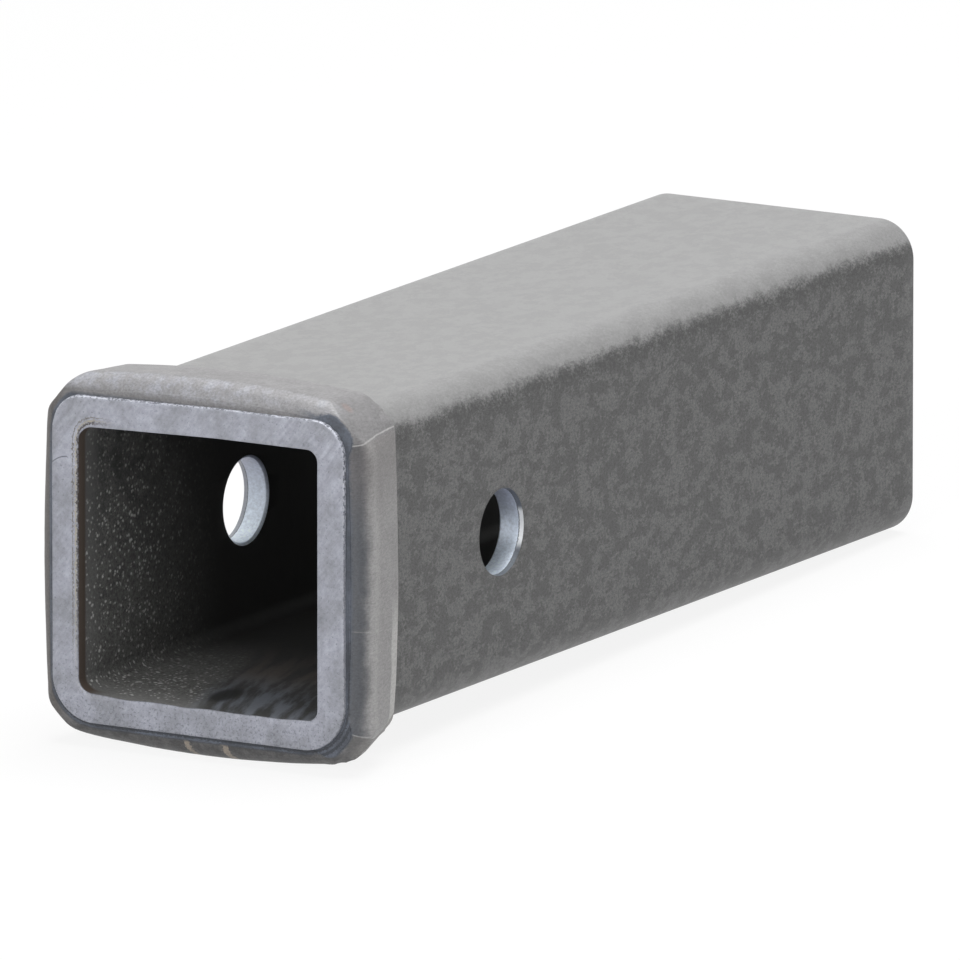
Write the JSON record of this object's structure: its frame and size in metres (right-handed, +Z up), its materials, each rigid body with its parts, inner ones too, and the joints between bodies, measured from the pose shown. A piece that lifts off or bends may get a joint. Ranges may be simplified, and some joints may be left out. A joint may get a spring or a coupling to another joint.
{
  "type": "receiver tube",
  "caption": "Square steel hitch receiver tube with a formed collar round its mouth and a cross hole for the hitch pin through both side walls.",
  "frame": {"origin": "centre of the tube's opening in the plane of the ground front face", "axes": "+Y runs from the mouth along the tube's axis to the rear end, +Z is up, square to the top wall, and +X is to the right as seen from in front of the mouth, along the pin hole"},
  "size_m": [0.0742, 0.2286, 0.0754],
  "materials": {
    "raw_steel": "uncoated hot-formed steel with dull grey mill scale, the front face ground bright"
  },
  "bodies": {
    "root": {"receiver_tube": "raw_steel"}
  },
  "joints": []
}
